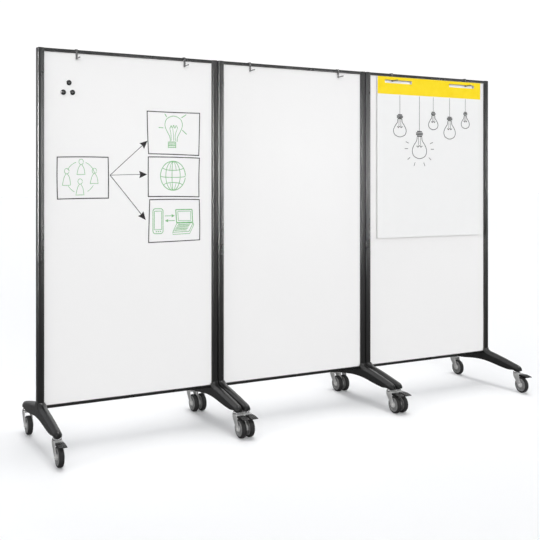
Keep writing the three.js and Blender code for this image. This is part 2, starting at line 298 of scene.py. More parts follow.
def mapped(tree, value, source, target):
    """Carries a shader value from one range, as (low, high), to another."""
    node = tree.nodes.new("ShaderNodeMapRange")
    for key, number in zip(("From Min", "From Max", "To Min", "To Max"), (*source, *target)):
        node.inputs[key].default_value = number
    tree.links.new(value, node.inputs["Value"])
    return node.outputs["Result"]


class Surface:
    """A Principled material whose colour, roughness and relief come from noise in the piece's own space."""

    def __init__(self, name, **constants):
        self.material = bpy.data.materials.new(name)
        self.material.use_nodes = True
        self.tree = self.material.node_tree
        self.shader = self.tree.nodes["Principled BSDF"]
        for key, value in constants.items():
            self.shader.inputs[key.replace("_", " ")].default_value = value
        self.place = self.tree.nodes.new("ShaderNodeTexCoord").outputs["Object"]

    def node(self, kind, **settings):
        made = self.tree.nodes.new(kind)
        for key, value in settings.items():
            setattr(made, key, value)
        return made

    def link(self, output, target):
        self.tree.links.new(output, target)

    def noise(self, scale, detail=2.0, stretch=(1, 1, 1)):
        mapping = self.node("ShaderNodeMapping")
        mapping.inputs["Scale"].default_value = stretch
        texture = self.node("ShaderNodeTexNoise")
        texture.inputs["Scale"].default_value = scale
        texture.inputs["Detail"].default_value = detail
        self.link(self.place, mapping.inputs["Vector"])
        self.link(mapping.outputs["Vector"], texture.inputs["Vector"])
        return texture.outputs["Fac"]

    def colour(self, amount, low, high, start=0.3, stop=0.7):
        ramp = self.node("ShaderNodeValToRGB")
        ramp.color_ramp.elements[0].position = start
        ramp.color_ramp.elements[1].position = stop
        ramp.color_ramp.elements[0].color = (*low, 1)
        ramp.color_ramp.elements[1].color = (*high, 1)
        self.link(amount, ramp.inputs["Fac"])
        self.link(ramp.outputs["Color"], self.shader.inputs["Base Color"])
        return self

    def rough(self, amount, low, high):
        self.link(mapped(self.tree, amount, (0.3, 0.7), (low, high)), self.shader.inputs["Roughness"])
        return self

    def relief(self, amount, height, strength=1.0):
        bump = self.node("ShaderNodeBump")
        bump.inputs["Distance"].default_value = height
        bump.inputs["Strength"].default_value = strength
        self.link(amount, bump.inputs["Height"])
        self.link(bump.outputs["Normal"], self.shader.inputs["Normal"])
        return self


def grey(value, warmth=0.0):
    return (value * (1 + warmth), value, value * (1 - warmth))


def drawn_metal(name, stretch):
    """Dark anodised extrusion, with faint drawing lines along its length."""
    surface = Surface(name, Metallic=0.9, Coat_Weight=0.15, Coat_Roughness=0.3)
    lines = surface.noise(900, 3.0, stretch)
    clouds = surface.noise(9, 3.0)
    surface.colour(lines, grey(0.062), grey(0.088, 0.01), 0.25, 0.75)
    surface.rough(clouds, 0.26, 0.34)
    return surface.relief(lines, 0.00002, 0.5).material


def cast_paint():
    """Satin powder coat over cast aluminium."""
    surface = Surface("cast_paint", Specular_IOR_Level=0.3, Coat_Weight=0.6, Coat_Roughness=0.12)
    peel = surface.noise(650, 2.0)
    clouds = surface.noise(14, 4.0)
    surface.colour(clouds, grey(0.008), grey(0.013))
    surface.rough(surface.noise(90, 3.0), 0.30, 0.40)
    return surface.relief(peel, 0.00012, 0.55).material


def plain_metal(name, low, high, smooth, dull, scale, relief=0.00002, metallic=1.0):
    surface = Surface(name, Metallic=metallic)
    wear = surface.noise(scale, 5.0)
    surface.colour(wear, grey(low), grey(high, 0.012))
    surface.rough(surface.noise(scale * 3, 4.0), smooth, dull)
    return surface.relief(surface.noise(scale * 9, 2.0), relief, 0.4).material


def moulded(name, low, high, smooth, dull, grain, height):
    """Moulded plastic or rubber with a fine grain."""
    surface = Surface(name, Specular_IOR_Level=0.5)
    surface.colour(surface.noise(60, 4.0), low, high)
    surface.rough(surface.noise(220, 3.0), smooth, dull)
    return surface.relief(surface.noise(grain, 2.0), height, 0.6).material


def writing_face():
    """Enamelled white steel, with the faintest clouding."""
    surface = Surface("writing_face", Specular_IOR_Level=0.18)
    surface.colour(surface.noise(3.0, 3.0), (0.884, 0.878, 0.876), (0.890, 0.884, 0.882))
    surface.rough(surface.noise(12, 2.0), 0.31, 0.33)
    return surface.relief(surface.noise(55, 2.0), 0.00002, 0.15).material


def paper(name, low, high):
    surface = Surface(name, Roughness=0.85, Specular_IOR_Level=0.25)
    fibres = surface.noise(1400, 4.0, (1, 1, 0.4))
    surface.colour(surface.noise(25, 4.0), low, high)
    return surface.relief(fibres, 0.00005, 0.35).material


def ink(name, thin, full, smooth):
    """A pen's line: uneven where the tip ran dry."""
    surface = Surface(name, Specular_IOR_Level=0.2)
    surface.colour(surface.noise(260, 4.0), full, thin, 0.35, 0.75)
    surface.rough(surface.noise(500, 2.0), smooth, smooth + 0.2)
    return surface.relief(surface.noise(900, 2.0), 0.00002, 0.3).material


POST_METAL = drawn_metal("post_metal", (1, 1, 0.02))
RAIL_METAL = drawn_metal("rail_metal", (0.02, 1, 1))
CAST = cast_paint()
CHROME = plain_metal("chrome", 0.82, 0.92, 0.06, 0.14, 45)
ZINC = plain_metal("zinc", 0.60, 0.80, 0.26, 0.42, 70, 0.00010, 0.55)
BOLT_STEEL = plain_metal("bolt_steel", 0.86, 0.95, 0.16, 0.26, 60, 0.00004, 0.35)
HOOK_STEEL = plain_metal("hook_steel", 0.20, 0.27, 0.26, 0.36, 90)
RUBBER = moulded("tyre_rubber", grey(0.018), grey(0.030), 0.45, 0.60, 700, 0.0001)
WHEEL_PLASTIC = moulded("wheel_plastic", grey(0.17), grey(0.30), 0.30, 0.44, 500, 0.00010)
HUB_PLASTIC = moulded("hub_plastic", grey(0.50), grey(0.62), 0.24, 0.36, 500, 0.00005)
PEDAL_PLASTIC = moulded("pedal_plastic", grey(0.004), grey(0.008), 0.16, 0.24, 800, 0.00008)
CAP_PLASTIC = moulded("cap_plastic", grey(0.020), grey(0.030), 0.38, 0.50, 700, 0.00008)
MAGNET_PLASTIC = moulded("magnet_plastic", grey(0.010), grey(0.017), 0.20, 0.32, 400, 0.00003)
DOT_PLASTIC = moulded("magnet_dot_plastic", grey(0.06), grey(0.09), 0.32, 0.42, 500, 0.00005)
WHITE_STEEL = writing_face()
PAPER = paper("pad_paper", (0.868, 0.868, 0.866), (0.876, 0.876, 0.874))
CARD = paper("backing_card", (0.82, 0.82, 0.81), (0.87, 0.87, 0.86))
HEADER = paper("pad_header", (0.95, 0.70, 0.015), (0.98, 0.745, 0.03))
BLACK_INK = ink("black_marker", (0.045, 0.036, 0.039), (0.010, 0.008, 0.009), 0.45)
GREEN_INK = ink("green_marker", (0.34, 0.60, 0.33), (0.15, 0.42, 0.16), 0.45)
GREY_INK = ink("grey_print", (0.15, 0.15, 0.15), (0.07, 0.07, 0.07), 0.6)


# Frame --------------------------------------------------------------


def post_outline():
    """The post's section: rounded outside, with a lip that is grooved for the board. Outer edge at x = 0."""
    shoulder = POST["width"] - POST["lip"]
    half, lip, corner = POST["half"], POST["lip_half"], POST["corner"]
    front = [
        (0, -half, corner), (12.5, -half, 16), (shoulder, -half + 0.9, 1.2), (shoulder, -lip - 0.2, 0.5),
        (POST["width"], -lip, 0.9), (POST["width"], -GROOVE_HALF, 0.4), (shoulder, -GROOVE_HALF, 0),
    ]
    back = [(x, -y, r) for x, y, r in reversed(front)]
    return rounded(front + back, 7)


def post_solid():
    return prism(post_outline(), FRAME_BASE - POST["sink"], FRAME_TOP - 1.6)


def post_cap_solid():
    """A moulded cap that closes the top of the post."""
    shoulder = POST["width"] - POST["lip"]
    outline = rounded([
        (0.2, -16.8, 4.8), (shoulder, -15.9, 1.2), (shoulder, -13.8, 0.4), (24.8, -13.8, 0.8),
        (24.8, 13.8, 0.8), (shoulder, 13.8, 0.4), (shoulder, 15.9, 1.2), (0.2, 16.8, 4.8),
    ], 7)
    return softened(prism(outline, FRAME_TOP - 1.5, FRAME_TOP), 0.5, 2)


def rail_solid(height, open_up):
    """A channel along X. Its groove takes the board's edge."""
    half = RAIL["half"]
    groove = height - RAIL["groove"]
    corners = [
        (-half, 0, 3.0), (half, 0, 3.0), (half, height, 0.7), (GROOVE_HALF, height, 0.4),
        (GROOVE_HALF, groove, 0), (-GROOVE_HALF, groove, 0), (-GROOVE_HALF, height, 0.4),
        (-half, height, 0.7),
    ]
    outline = rounded(corners, 6)
    if not open_up:
        outline = [(y, height - z) for y, z in reversed(outline)]
    return prism(outline, -RAIL["length_half"], RAIL["length_half"], "X")


def add_frames():
    posts = mesh_pair("post", post_solid(), POST_METAL)
    caps = mesh_pair("post_cap", post_cap_solid(), CAP_PLASTIC)
    rail_solids = {
        "top": moved(rail_solid(RAIL["top"], False), z=FRAME_TOP - RAIL["top"]),
        "bottom": moved(rail_solid(RAIL["bottom"], True), z=FRAME_BASE),
    }
    rails = {level: make_mesh(f"{level}_rail", solid, RAIL_METAL) for level, solid in rail_solids.items()}
    for unit, centre in UNITS.items():
        body = f"{unit}_unit"
        middle = (centre, PLANE_Y, 0)
        for hand in HANDS:
            node = f"{body}_post_{hand}"
            at = outer_edge(node, hand)
            add_piece(f"{unit}_post_{hand}", posts[hand], body, at, [node])
            add_piece(f"{unit}_post_cap_{hand}", caps[hand], body, at)
        for level, mesh in rails.items():
            add_piece(f"{unit}_{level}_rail", mesh, body, middle, [f"{body}_{level}_rail"])
        board = frame["nodes"][f"{body}_board"]
        board.data.materials.clear()
        board.data.materials.append(WHITE_STEEL)


# Feet ---------------------------------------------------------------


def end_fullness(distance):
    into = max(0.0, distance - (FOOT["half"] - FOOT["round_end"])) / FOOT["round_end"]
    return math.sqrt(1 - (END_TAPER * into) ** 2)


def foot_top(distance):
    droop = FOOT_TOP["droop"] * min(1.0, distance / FOOT_TOP["reach"]) ** FOOT_TOP["curve"]
    into = 1 - (max(distance, FILLET["start"]) - FILLET["start"]) / FILLET["reach"]
    fillet = FILLET["rise"] * max(0.0, into) ** 2
    return FOOT_TOP["middle"] - droop + fillet - FOOT["round_end"] * (1 - end_fullness(distance))


def foot_underside(distance):
    angle = math.pi / 2 * min(1.0, distance / FOOT["arch_reach"])
    near_end = min(1.0, max(0.0, distance - FOOT["arch_reach"] + 12) / 30.0)
    lift = END_LIFT * near_end ** 2 * (3 - 2 * near_end)
    return FOOT["under"] + FOOT["arch"] * math.cos(angle) ** 2 + lift


def foot_ring(y, steps=18):
    """One ring of the arm: flat below, straight sides, and a ridged crown."""
    distance = abs(y)
    half = FOOT["width"] / 2 * end_fullness(distance) * (1 - ARM_TAPER * (distance / FOOT["half"]) ** 1.5)
    crown = FOOT_TOP["crown"]
    shoulder = foot_top(distance) - crown
    under = foot_underside(distance)
    ring = [(-half + 2, y, under), (half - 2, y, under), (half, y, under + 2)]
    for i in range(steps + 1):
        across = 1 - 2 * i / steps
        ring.append((half * across, y, shoulder + crown * (1 - abs(across) ** 2.7)))
    ring.append((-half, y, under + 2))
    return [(FOOT["width"] / 2 + x, y, z) for x, y, z in ring]


def collar_outline(grow=0.0):
    half, corner = COLLAR["half"] + grow, COLLAR["corner"]
    outer, inner = -grow * 0.3, COLLAR["width"] + grow
    return rounded([(outer, -half, corner), (inner, -half, 4.5), (inner, half, 4.5), (outer, half, corner)])


def collar_flare():
    """The sweep from the collar's rim out into the arms."""
    rings = []
    for i in range(9):
        t = i / 8
        outline = collar_outline(5.0 * (1 - t) ** 2.2)
        rings.append([(x, y, COLLAR["top"] - 22 + 20 * t) for x, y in outline])
    return loft(rings)


def foot_solid():
    ends = FOOT["half"]
    spots = [-ends + 2 * ends * i / 128 for i in range(129)]
    arms = loft([foot_ring(y) for y in spots])
    collar = prism(collar_outline(), COLLAR["base"], COLLAR["top"])
    whole = modified(
        joined(arms, collar, collar_flare()),
        ("REMESH", {"mode": "VOXEL", "voxel_size": 1.7}),
        ("SMOOTH", {"factor": 0.5, "iterations": 7}),
    )
    half, rail_half = POST["half"] + CLEAR, RAIL["half"] + CLEAR
    around_post = rectangle(-CLEAR, POST["width"] + CLEAR, -half, half, POST["corner"])
    above = COLLAR["top"] + 20
    socket = [(x + POST_INSET, y) for x, y in around_post]
    socket = prism(socket, FRAME_BASE - POST["sink"] - CLEAR, above)
    notch = prism(rectangle(26, 60, -rail_half, rail_half), FRAME_BASE - CLEAR, above)
    return boolean(whole, "DIFFERENCE", socket, notch)


def add_feet():
    meshes = mesh_pair("foot", foot_solid(), CAST)
    for unit in UNITS:
        for hand in HANDS:
            node = f"{unit}_unit_foot_{hand}"
            at = outer_edge(node, hand)
            add_piece(f"{unit}_foot_{hand}", meshes[hand], f"{unit}_unit", at, [node])


# Casters ------------------------------------------------------------
# Drawn with the swivel axis at x = y = 0 and the axle ahead of it, towards -Y.


def head_solid():
    """The pressed swivel head: a skirt, a dome, and the stem that goes up into the foot."""
    r, under, top = HEAD["radius"], HEAD["under"], HEAD["top"]
    profile = rounded([
        (0, under + 1.2, 0), (r - 1.6, under + 1.2, 0), (r - 1.6, under + 0.3, 0), (r, under + 0.3, 0.5),
        (r, under + 7.0, 5.0), (r - 6.0, top - 0.6, 5.0), (HEAD["stem"] + 3.0, top, 0.6),
        (HEAD["stem"], top, 0), (HEAD["stem"], HEAD["stem_top"], 0.8), (0, HEAD["stem_top"], 0),
    ], 5)
    return lathe(profile, "Z", 48)


def leg_outline():
    """A fork leg's side: it sweeps forward and down from the head, and ends round about the axle."""
    end = 9.5
    corners = [
        (FORK["back"], FORK["top"], 2.5), (7.0, 76.0, 14.0), (-17.0, 44.0, 30.0),
        (-TRAIL + 3.0, WHEEL_RADIUS - end - 0.8, 9.0), (-TRAIL - end - 2.4, WHEEL_RADIUS - end + 3.0, 9.5),
        (-TRAIL - end - 0.4, WHEEL_RADIUS + 7.0, 12.0), (-31.0, 68.0, 26.0),
        (FORK["front"], FORK["top"], 3.0),
    ]
    return rounded(corners, 6)


def fork_solid():
    """The pressed fork: a bridge under the head, folded down into two legs."""
    legs = [prism(leg_outline(), side * LEG["inner"], side * LEG["outer"], "X") for side in (-1, 1)]
    outline = rectangle(FORK["front"], FORK["back"], -LEG["outer"], LEG["outer"], 3.0, 4)
    bridge = prism(outline, FORK["top"] - FORK["sheet"], FORK["top"])
    for vert in bridge.verts:
        vert.co.x, vert.co.y = vert.co.y, vert.co.x
    bmesh.ops.recalc_face_normals(bridge, faces=bridge.faces)
    return softened(boolean(legs[0], "UNION", legs[1], bridge), 0.5, 2)


def axle_solid():
    """The axle bolt, with a washer and a hexagon at each end."""
    y, z = -TRAIL, WHEEL_RADIUS
    parts = [prism(circle(3.6, y, z), -LEG["inner"], LEG["inner"], "X")]
    for side in (-1, 1):
        parts.append(softened(prism(circle(7.0, y, z, 32), side * 16.5, side * 17.0, "X"), 0.15, 1))
        parts.append(softened(prism(circle(5.4, y, z, 6), side * 17.0, side * 18.1, "X"), 0.35, 2))
    return joined(*parts)


def wheel_ring(corners, steps):
    """A ring about the axle from corners (radius, half width, rounding) of its right half's section."""
    left = [(r, -x, bend) for r, x, bend in reversed(corners)]
    return moved(lathe(rounded(corners + left, 5), "X", steps), y=-TRAIL, z=WHEEL_RADIUS)


def tyre_solid():
    return wheel_ring([(30.2, 9.6, 0.4), (34.2, 9.6, 2.2), (WHEEL_RADIUS, 6.8, 4.0)], 80)


def core_solid():
    """The wheel's moulded disc: a rim, a dished web, and a boss that carries the hub."""
    return wheel_ring([
        (4.4, 9.2, 0.3), (15.6, 9.2, 1.0), (16.4, 6.6, 0.8),
        (24.6, 6.6, 1.2), (25.8, 10.3, 0.9), (30.0, 10.3, 0.7),
    ], 72)


def hub_solid():
    """A raised bearing cap on each side, kept apart by the boss."""
    caps = []
    for side in (-1, 1):
        profile = rounded([
            (4.4, side * 9.4, 0), (12.6, side * 9.4, 0.4), (12.0, side * 11.4, 1.0), (8.2, side * 12.6, 0.8),
            (4.4, side * 12.6, 0.3),
        ], 4)
        caps.append(moved(lathe(profile, "X", 40), y=-TRAIL, z=WHEEL_RADIUS))
    return joined(*caps)


def pedal_solid():
    """The brake pedal: a lever on its pin, and a wide wedge."""
    y, z, boss = PEDAL["pin_y"], PEDAL["pin_z"], 4.4
    lever = rounded([
        (y + boss, z + boss, boss * 0.95), (y + boss, z - boss, boss * 0.95),
        (-38, z - boss, 0), (-38, z + boss, 0),
    ], 6)
    lever = softened(prism(lever, -PEDAL["half"], PEDAL["half"], "X"), 0.6, 2)
    wedge = rounded([
        (-30, z + 4.5, 1.0), (-30, z - 4.5, 1.0), (-44, z - 5.0, 8.0), (-60, z - 8.5, 3.0),
        (-84, z - 2.5, 0.8), (-84, z, 0.8), (-56, z + 5.4, 8),
    ], 5)
    wedge = softened(prism(wedge, -PEDAL["paddle_half"], PEDAL["paddle_half"], "X"), 1.1, 3)
    return boolean(wedge, "UNION", lever)


def pedal_ribs():
    """Low ribs across the sloping top of the pedal."""
    half = PEDAL["paddle_half"] - 2.6
    ribs = []
    for i in range(RIBS["count"]):
        y = RIBS["first"] - RIBS["step"] * i
        z = PEDAL["pin_z"] + RIBS["rise"] + RIBS["slope"] * (y - RIBS["crest_y"])
        outline = rectangle(-half, half, y - 0.9, y + 0.9, 0.8, 3)
        ribs.append(softened(prism(outline, z - 1.2, z + 0.5), 0.3, 1))
    return joined(*ribs)


def pin_solid():
    """The pin that the pedal turns on."""
    return softened(prism(circle(1.9, PEDAL["pin_y"], PEDAL["pin_z"], 20), -17.4, 17.4, "X"), 0.4)


# A caster's pieces: name, solid, material, the part it rides on, and whether it stands for that part
CASTER_PIECES = [
    ("swivel_head", head_solid, CHROME, "fork", False),
    ("fork", fork_solid, ZINC, "fork", True),
    ("axle", axle_solid, BOLT_STEEL, "fork", False),
    ("tyre", tyre_solid, RUBBER, "wheel", True),
    ("wheel_core", core_solid, WHEEL_PLASTIC, "wheel", False),
    ("hub", hub_solid, HUB_PLASTIC, "wheel", False),
]
BRAKE_PIECES = [
    ("pedal_pin", pin_solid, ZINC, "fork", False),
    ("pedal", pedal_solid, PEDAL_PLASTIC, "pedal", True),
    ("pedal_ribs", pedal_ribs, PEDAL_PLASTIC, "pedal", False),
]


def add_casters():
    meshes = {}
    for name, solid, material, _, _ in CASTER_PIECES + BRAKE_PIECES:
        meshes[name] = make_mesh(f"caster_{name}", solid(), material)
    swivels = {j["name"]: Vector(j["pos_m"]) for j in frame["joints"] if j["name"].endswith("_swivel")}
    for unit, end, hand in itertools.product(UNITS, ("front", "rear"), HANDS):
        caster = f"{unit}_unit_{end}_{hand}"
        spot = swivels[f"{caster}_swivel"]
        at = (spot.x, spot.y, 0)
        for name, _, _, part, whole in CASTER_PIECES + (BRAKE_PIECES if end == "front" else []):
            node = f"{caster}_{part}"
            stands_for = [node] if whole else ()
            add_piece(f"{unit}_{end}_{hand}_{name}", meshes[name], node, at, stands_for)


# Hooks --------------------------------------------------------------


def hook_solid():
    """A strap bent over the top rail, with a round prong towards the writer."""
    off = RAIL["half"] + CLEAR + HOOK["strap"] / 2
    over = FRAME_TOP + CLEAR + HOOK["strap"] / 2
    path = rounded([
        (off, FRAME_TOP - HOOK["back"], 0), (off, over, 2.2),
        (-off, over, 2.2), (-off, PRONG_Z - HOOK["below_prong"], 0),
    ], 6, closed=False)
    half, radius, reach = HOOK["width"] / 2, HOOK["prong"], HOOK["reach"]
    strap = sweep(path, rectangle(-half, half, -HOOK["strap"] / 2, HOOK["strap"] / 2, 0.5, 3))
    prong = facing_front(lathe(rounded([
        (0, 0, 0), (radius, 0, 0), (radius, reach - 2.2, 1.0), (radius - 0.9, reach, 1.0), (0, reach, 0),
    ]), "Y", 20))
    bmesh.ops.rotate(prong, matrix=Matrix.Rotation(-PRONG_RISE, 3, "X"), verts=prong.verts)
    return boolean(strap, "UNION", moved(prong, y=-off, z=PRONG_Z))


def add_hooks():
    mesh = make_mesh("hook", hook_solid(), HOOK_STEEL)
    for unit in UNITS:
        for hand in HANDS:
            node = f"{unit}_unit_hook_{hand}"
            low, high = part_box(node)
            add_piece(f"{unit}_hook_{hand}", mesh, node, ((low.x + high.x) / 2, PLANE_Y, 0), [node])


# Drawn lines --------------------------------------------------------
# Pen lines are thin solids that lie on a face. They are drawn in (x, z) from the unit's centre line and
# from the underside of the bottom rail.


def smooth_path(points, closed=False, steps=6):
    """A curve through the points."""
    count = len(points)
    path = []
    for i in range(count if closed else count - 1):
        near = [k % count if closed else min(max(k, 0), count - 1) for k in range(i - 1, i + 3)]
        p0, p1, p2, p3 = [Vector(points[k]) for k in near]
        bend = 2 * p0 - 5 * p1 + 4 * p2 - p3
        twist = 3 * p1 - p0 - 3 * p2 + p3
        for step in range(steps):
            t = step / steps
            path.append(tuple(0.5 * (2 * p1 + (p2 - p0) * t + bend * t * t + twist * t ** 3)))
    if not closed:
        path.append(tuple(points[-1]))
    return path


def arc(x, z, rx, rz, start, stop, steps=20):
    """Part of an ellipse, with its angles in degrees from +x towards +z."""
    angles = [math.radians(start + (stop - start) * i / steps) for i in range(steps + 1)]
    return [(x + rx * math.cos(a), z + rz * math.sin(a)) for a in angles]


class Sketch:
    """Pen lines on one face, gathered into one solid."""

    def __init__(self, front, depth=0.12, seed=1):
        self.bm = bmesh.new()
        self.front = front
        self.depth = depth
        self.strokes = 0
        self.random = random.Random(seed)

    def next_depth(self):
        """Each stroke lies a hair above the last, as ink does, so that no two faces coincide."""
        self.strokes += 1
        return self.front - self.depth - 0.004 * self.strokes

    def line(self, points, width, closed=False, sway=0.12):
        """A pen line of the given width. "sway" is how much its width changes along the way."""
        rows = []
        count = len(points)
        near, far = self.next_depth(), self.front
        drift = self.random.uniform(0, 100)
        for i, (x, z) in enumerate(points):
            before = Vector(points[i - 1] if (closed or i) else points[0])
            after = Vector(points[(i + 1) % count] if closed or i + 1 < count else points[-1])
            along = (after - before).normalized()
            swell = 1 + sway * noise.noise(Vector((x * 0.05, z * 0.05, drift)))
            half = width / 2 * swell
            dx, dz = -along.y * half, along.x * half
            left, right = (x + dx, z + dz), (x - dx, z - dz)
            corners = [(left, near), (right, near), (right, far), (left, far)]
            rows.append([(across, y, up) for (across, up), y in corners])
        skin(self.bm, rows, closed)

    def curve(self, points, width, closed=False):
        self.line(smooth_path(points, closed), width, closed)

    def straight(self, start, stop, width, steps=8, wobble=0.0):
        """A hand-drawn straight line: it bows a little and never runs quite true."""
        ahead = Vector(stop) - Vector(start)
        side = Vector((-ahead.y, ahead.x)).normalized()
        bow = self.random.uniform(-wobble, wobble)
        points = []
        for i in range(steps + 1):
            t = i / steps
            points.append(tuple(Vector(start) + ahead * t + side * (bow * math.sin(math.pi * t))))
        self.line(points, width)

    def frame(self, corners, width, wobble=1.6):
        """A hand-drawn box whose four strokes cross a little at its corners."""
        for i, corner in enumerate(corners):
            following = Vector(corners[(i + 1) % 4])
            ahead = (following - Vector(corner)).normalized() * width * 0.45
            self.straight(Vector(corner) - ahead, following + ahead, width, 10, wobble)

    def patch(self, corners):
        """A filled shape."""
        skin(self.bm, [[(x, y, z) for x, z in corners] for y in (self.next_depth(), self.front)])

    def arrow_head(self, tip, direction, length, half):
        ahead = Vector(direction).normalized()
        side = Vector((-ahead.y, ahead.x))
        base = Vector(tip) - ahead * length
        self.patch([tip, base + side * half, base + ahead * length * 0.12, base - side * half])

    def solid(self):
        bmesh.ops.recalc_face_normals(self.bm, faces=self.bm.faces)
        return self.bm


BOARD_FRONT = -6.02
BOX_LINE = 4.0
THIN_LINE = 2.5
GREEN_LINE = 2.7
PALE_LINE = 2.1


def box_sketch(corners, seed):
    sketch = Sketch(BOARD_FRONT, seed=seed)
    sketch.frame(corners, BOX_LINE)
    return sketch


def arrows_sketch():
    """Three arrows that fan out from the people's box."""
    sketch = Sketch(BOARD_FRONT, seed=5)
    start = (-90, 893)
    for tip, width in (((68, 1034), THIN_LINE), ((66, 897), THIN_LINE * 0.8), ((60, 712), THIN_LINE * 1.15)):
        ahead = (Vector(tip) - Vector(start)).normalized()
        sketch.straight(start, Vector(tip) - ahead * 20, width, 12, 1.2)
        sketch.arrow_head(tip, ahead, 34, 15)
    return sketch


def person(sketch, x, head, foot):
    """A round head over a bell-shaped body."""
    sketch.line(arc(x, head, 9, 10.5, 0, 345, 18), PALE_LINE)
    shoulder = head - 11
    for side, spread in ((-1, 17), (1, 15)):
        flank = [(2.5, shoulder), (8.5, shoulder - 9), (12.5, (shoulder + foot) / 2), (spread, foot)]
        sketch.line(smooth_path([(x + side * dx, z) for dx, z in flank]), PALE_LINE)
    sketch.straight((x - 17, foot), (x + 15, foot + 1), PALE_LINE, 6, 0.8)


def people_sketch():
    """Four figures linked in a ring."""
    sketch = Sketch(BOARD_FRONT, seed=7)
    for x, head, foot in ((-207, 945, 895), (-264, 908, 853), (-154, 910, 859), (-211, 868, 815)):
        person(sketch, x, head, foot)
    for start, stop in ((14, 70), (108, 152), (212, 245), (298, 330)):
        sketch.line(arc(-209, 884, 58, 62, start, stop, 10), PALE_LINE)
    return sketch


def bulb_outline(x, top, bottom, half, neck):
    """A bulb's outline, from its neck round the globe and back. "top" is the far side from the neck."""
    sign = 1 if top > bottom else -1
    tall = abs(top - bottom)
    widths = [(0.0, neck), (0.18, neck * 1.15), (0.36, half * 0.72), (0.55, half * 0.97), (0.72, half)]
    near_top = (0.9, half * 0.74)
    right = [(x + w, bottom + sign * tall * t) for t, w in widths + [near_top]]
    left = [(x - w, bottom + sign * tall * t) for t, w in [near_top] + widths[::-1]]
    return right + [(x, bottom + sign * tall)] + left


def idea_sketch():
    """A shining bulb."""
    sketch = Sketch(BOARD_FRONT, seed=9)
    x = 176
    sketch.curve(bulb_outline(x + 6, 1138, 1033, 38, 15), GREEN_LINE)
    loops = [(165, 1086), (171, 1098), (176, 1088), (182, 1100), (187, 1088), (193, 1099), (200, 1087)]
    sketch.curve(loops, GREEN_LINE)
    for foot, top in ((165, 165), (176, 178), (184, 198)):
        sketch.line(smooth_path([(foot + 6, 1036), (foot + 5, 1060), (top, 1086)]), GREEN_LINE * 0.8)
    for i in range(4):
        sketch.straight((x - 18, 1030 - 7 * i), (x + 15, 1031 - 7 * i), GREEN_LINE * 1.4, 4, 1.0)
    sketch.straight((x - 18, 1032), (x - 18, 1006), GREEN_LINE, 4)
    sketch.straight((x + 15, 1032), (x + 15, 1006), GREEN_LINE, 4)
    rays = [(143, 1146, 151, 1133), (217, 1132, 238, 1146), (116, 1089, 136, 1088), (220, 1081, 240, 1064)]
    for x0, z0, x1, z1 in rays:
        sketch.straight((x0, z0), (x1, z1), GREEN_LINE * 1.2, 3)
    return sketch


def globe_sketch():
    sketch = Sketch(BOARD_FRONT, seed=11)
    x, z, rx, rz = 179, 892, 55, 60
    sketch.line(arc(x, z, rx, rz, 0, 352, 44), GREEN_LINE * 1.2)
    for share in (-0.58, 0.58, 0.08):
        sketch.line(arc(x, z, rx * share, rz, 90, 270, 24), GREEN_LINE)
    sketch.line(arc(x, z, rx * 0.58, rz * 0.99, -90, 90, 24), GREEN_LINE)
    sketch.line(arc(x, z - 2, rx, 5, 180, 360, 20), GREEN_LINE)
    sketch.line(arc(x, z + 34, rx * 0.84, 12, 190, 350, 16), GREEN_LINE)
    sketch.line(arc(x, z - 40, rx * 0.76, 12, 10, 170, 16), GREEN_LINE)
    for share in (-0.28, 0.28):
        sketch.line(arc(x, z, rx * share, rz * 0.97, 20, 88, 12), GREEN_LINE * 0.8)
        sketch.line(arc(x, z, rx * share, rz * 0.97, -88, -30, 12), GREEN_LINE * 0.8)
    sketch.patch(arc(x, z, rx * 0.9, rz * 0.99, 70, 110, 8))
    sketch.patch(arc(x, z, rx * 0.9, rz * 0.99, 254, 286, 8))
    return sketch


def devices_sketch():
    """A telephone and a laptop, with an arrow each way between them."""
    sketch = Sketch(BOARD_FRONT, seed=13)
    sketch.line(rectangle(91, 135, 655, 757, 11, 5), GREEN_LINE * 1.2, closed=True)
    sketch.line(rectangle(97, 129, 671, 747, 3, 3), GREEN_LINE, closed=True)
    for x in (103, 112, 121):
        sketch.straight((x, 663), (x + 6, 664), GREEN_LINE * 1.4, 3)
    for z, start, tip in ((727, 143, 187), (707, 187, 143)):
        ahead = 1 if tip > start else -1
        sketch.straight((start, z), (tip - ahead * 10, z), GREEN_LINE, 5)
        sketch.arrow_head((tip, z), (ahead, 0), 15, 7)
    lid = [(191, 752, 2), (264, 752, 2), (267, 699, 2), (195, 698, 2)]
    screen = [(200, 745, 1), (257, 745, 1), (259, 706, 1), (203, 706, 1)]
    keys = [(196, 696, 1), (269, 696, 1), (251, 661, 1), (178, 659, 1)]
    for corners, weight in ((lid, 1.6), (screen, 0.9), (keys, 1)):
        sketch.line(rounded(corners, 3), GREEN_LINE * weight, closed=True)
    sketch.line([(269, 696), (272, 688), (254, 652), (178, 650), (178, 659)], GREEN_LINE)
    for i in range(5):
        sketch.straight((201 - 4 * i, 691 - 6 * i), (256 - 4 * i, 691 - 6 * i), GREEN_LINE * 1.2, 5, 1.0)
    return sketch


BOXES = {
    "people_box": [(-301, 962), (-98, 964), (-97, 802), (-300, 800)],
    "idea_box": [(66, 1154), (299, 1154), (295, 977), (72, 981)],
    "globe_box": [(71, 968), (298, 966), (296, 804), (71, 807)],
    "devices_box": [(77, 794), (297, 793), (299, 624), (72, 620)],
}


